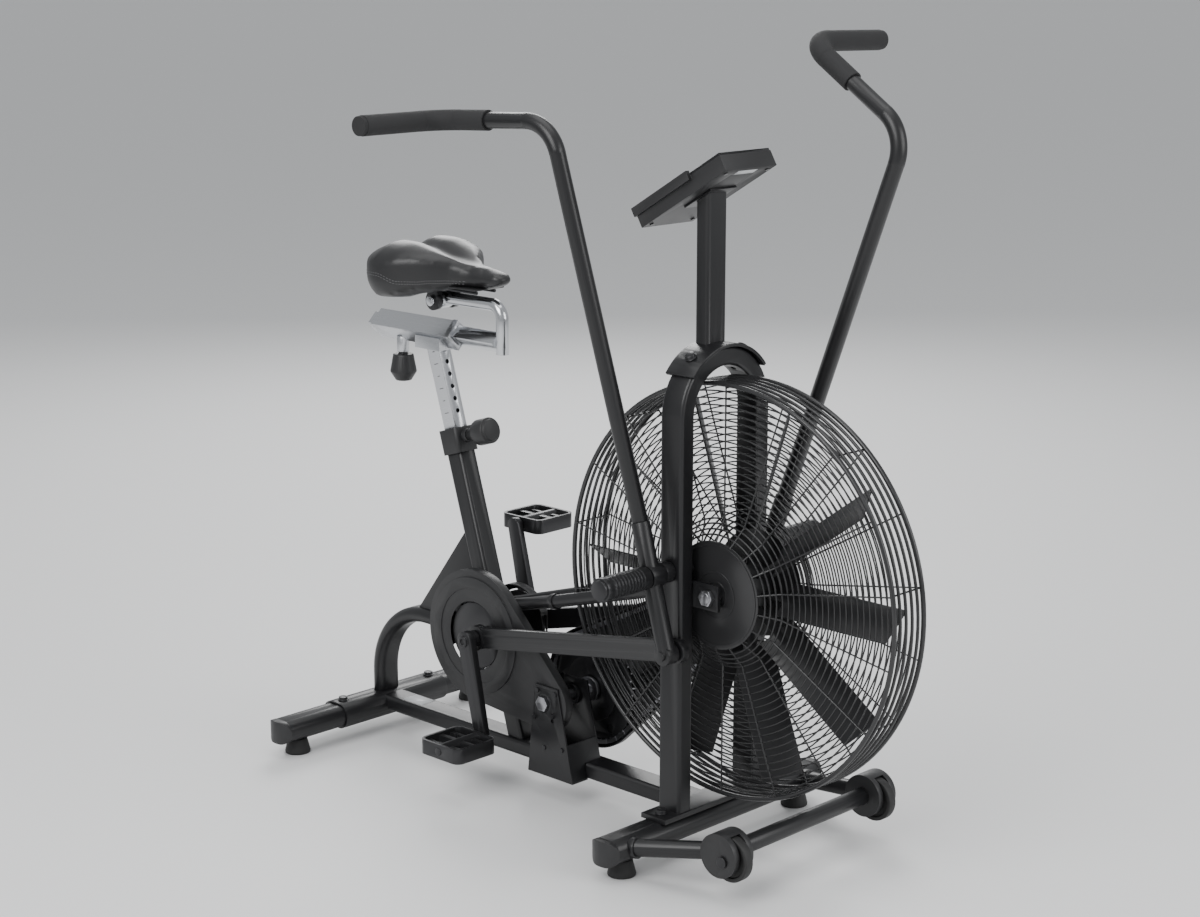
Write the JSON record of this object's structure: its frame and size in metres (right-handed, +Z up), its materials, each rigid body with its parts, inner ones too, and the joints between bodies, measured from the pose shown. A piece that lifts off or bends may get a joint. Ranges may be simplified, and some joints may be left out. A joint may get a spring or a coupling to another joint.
{
  "type": "air bike",
  "caption": "Fan resistance exercise bike with moving arm levers, caged fan, crank and pedals, adjustable saddle, console and transport wheels.",
  "frame": {"origin": "centre of the footprint on the floor plane, z = 0 under the rubber feet", "axes": "+X forward, the way the rider faces (towards the fan and the transport wheels); +Y the rider's left; +Z up"},
  "size_m": [1.2336, 0.701, 1.2962],
  "materials": {
    "black_paint": "satin powder coat",
    "cage_paint": "satin powder coat",
    "dark_steel": "dark plated steel",
    "bright_steel": "zinc plated",
    "aluminium": "brushed",
    "chrome": "polished",
    "black_plastic": "moulded, fine texture",
    "gloss_plastic": "gloss",
    "key_green": "matte",
    "key_grey": "matte",
    "key_red": "matte",
    "screen": "clear window over a blank display",
    "rubber": "matte",
    "foam": "closed cell foam",
    "leatherette": "stitched cover over foam"
  },
  "bodies": {
    "frame": {"front_stabiliser": "black_paint", "rear_stabiliser": "black_paint", "end_caps": "black_plastic", "rubber_feet": "rubber", "frame_bolts": "dark_steel", "base_tube": "black_paint", "rear_arch": "black_paint", "seat_tube": "black_paint", "seat_collar": "black_plastic", "fan_stays": "black_paint", "u_frame": "black_paint", "mast": "black_paint", "console_body": "black_plastic", "console_bezel": "gloss_plastic", "display_window": "screen", "battery_door": "black_plastic", "transport_bar": "black_paint", "wheel_housings": "black_plastic", "pivot_axles": "bright_steel", "foot_pegs": "dark_steel", "right_chain_cover": "black_plastic", "left_crank_cover": "black_plastic", "left_chain_guard": "black_plastic", "jackshaft_bracket": "black_paint", "bearings": "bright_steel", "primary_chain": "bright_steel", "secondary_chain": "bright_steel", "right_cage": "cage_paint", "left_cage": "cage_paint", "fan_axle": "bright_steel"},
    "crank": {"crank_axle": "bright_steel", "chainring": "bright_steel", "right_crank": "dark_steel", "left_crank": "dark_steel"},
    "right_pedal": {"right_pedal": "bright_steel"},
    "left_pedal": {"left_pedal": "bright_steel"},
    "right_link": {"right_link": "black_paint"},
    "left_link": {"left_link": "black_paint"},
    "jackshaft": {"jackshaft": "bright_steel", "drive_sprocket": "black_paint"},
    "fan": {"fan_wheel": "black_paint", "fan_sprocket": "bright_steel"},
    "right_arm": {"right_lever": "black_paint", "right_handlebar": "black_paint", "right_grip": "foam"},
    "left_arm": {"left_lever": "black_paint", "left_handlebar": "black_paint", "left_grip": "foam"},
    "seat_post": {"seat_post": "aluminium"},
    "seat_slider": {"seat_slider": "chrome"},
    "saddle": {"saddle_rails": "bright_steel", "saddle_pan": "black_plastic", "saddle_cushion": "leatherette"},
    "height_knob": {"height_knob": "black_plastic"},
    "slider_knob": {"slider_knob": "black_plastic"},
    "right_wheel": {"right_wheel": "rubber"},
    "left_wheel": {"left_wheel": "rubber"},
    "start_button": {"start_button": "key_green"},
    "mode_button": {"mode_button": "key_grey"},
    "stop_button": {"stop_button": "key_red"}
  },
  "joints": [
    {"name": "crank_spin", "type": "hinge", "parent": "frame", "child": "crank", "pos_m": [-0.275, 0, 0.251], "axis": [0, 1, 0], "continuous": true},
    {"name": "right_link_eye", "type": "hinge", "parent": "crank", "child": "right_link", "pos_m": [-0.23963, -0.083, 0.26041], "axis": [0, 1, 0], "continuous": true},
    {"name": "left_link_eye", "type": "hinge", "parent": "crank", "child": "left_link", "pos_m": [-0.31037, 0.083, 0.24159], "axis": [0, 1, 0], "continuous": true},
    {"name": "right_pedal_spin", "type": "hinge", "parent": "crank", "child": "right_pedal", "pos_m": [-0.20219, -0.167, 0.09561], "axis": [0, 1, 0], "continuous": true},
    {"name": "left_pedal_spin", "type": "hinge", "parent": "crank", "child": "left_pedal", "pos_m": [-0.34781, 0.167, 0.40639], "axis": [0, 1, 0], "continuous": true},
    {"name": "jackshaft_spin", "type": "hinge", "parent": "frame", "child": "jackshaft", "pos_m": [-0.101, 0, 0.169], "axis": [0, 1, 0], "continuous": true},
    {"name": "fan_spin", "type": "hinge", "parent": "frame", "child": "fan", "pos_m": [0.28, 0, 0.435], "axis": [0, 1, 0], "continuous": true},
    {"name": "right_arm_swing", "type": "hinge", "parent": "frame", "child": "right_arm", "pos_m": [0.222, -0.14, 0.4716], "axis": [0, 1, 0], "range_deg": [0, 35.3]},
    {"name": "left_arm_swing", "type": "hinge", "parent": "frame", "child": "left_arm", "pos_m": [0.222, 0.14, 0.4716], "axis": [0, 1, 0], "range_deg": [-35.3, 0]},
    {"name": "seat_height", "type": "slide", "parent": "frame", "child": "seat_post", "axis": [-0.294, 0, 0.9558], "range_m": [-0.11, 0.1]},
    {"name": "seat_fore_aft", "type": "slide", "parent": "seat_post", "child": "seat_slider", "axis": [1, 0, 0], "range_m": [-0.06, 0.06]},
    {"name": "saddle_tilt", "type": "hinge", "parent": "seat_slider", "child": "saddle", "pos_m": [-0.408, 0, 0.822], "axis": [0, 1, 0], "range_deg": [-12, 4]},
    {"name": "height_pin_pull", "type": "slide", "parent": "frame", "child": "height_knob", "axis": [0.9558, 0, 0.294], "range_m": [0, 0.008], "stiffness_N_per_m": 900, "springref_m": -0.006},
    {"name": "slider_pin_pull", "type": "slide", "parent": "seat_post", "child": "slider_knob", "axis": [0, 0, -1], "range_m": [0, 0.006], "stiffness_N_per_m": 900, "springref_m": -0.006},
    {"name": "right_wheel_spin", "type": "hinge", "parent": "frame", "child": "right_wheel", "pos_m": [0.424, -0.177, 0.073], "axis": [0, 1, 0], "continuous": true},
    {"name": "left_wheel_spin", "type": "hinge", "parent": "frame", "child": "left_wheel", "pos_m": [0.424, 0.177, 0.073], "axis": [0, 1, 0], "continuous": true},
    {"name": "start_press", "type": "slide", "parent": "frame", "child": "start_button", "axis": [0.506, 0, -0.8625], "range_m": [0, 0.002], "stiffness_N_per_m": 400, "springref_m": -0.0008},
    {"name": "mode_press", "type": "slide", "parent": "frame", "child": "mode_button", "axis": [0.506, 0, -0.8625], "range_m": [0, 0.002], "stiffness_N_per_m": 400, "springref_m": -0.0008},
    {"name": "stop_press", "type": "slide", "parent": "frame", "child": "stop_button", "axis": [0.506, 0, -0.8625], "range_m": [0, 0.002], "stiffness_N_per_m": 400, "springref_m": -0.0008}
  ],
  "couplings": [
    {"joint": "right_link_eye", "follows": "crank_spin", "ratio": -1},
    {"joint": "left_link_eye", "follows": "crank_spin", "ratio": -1},
    {"joint": "jackshaft_spin", "follows": "crank_spin", "ratio": 3},
    {"joint": "fan_spin", "follows": "crank_spin", "ratio": 10.286},
    {"joint": "left_arm_swing", "follows": "right_arm_swing", "ratio": -1}
  ]
}
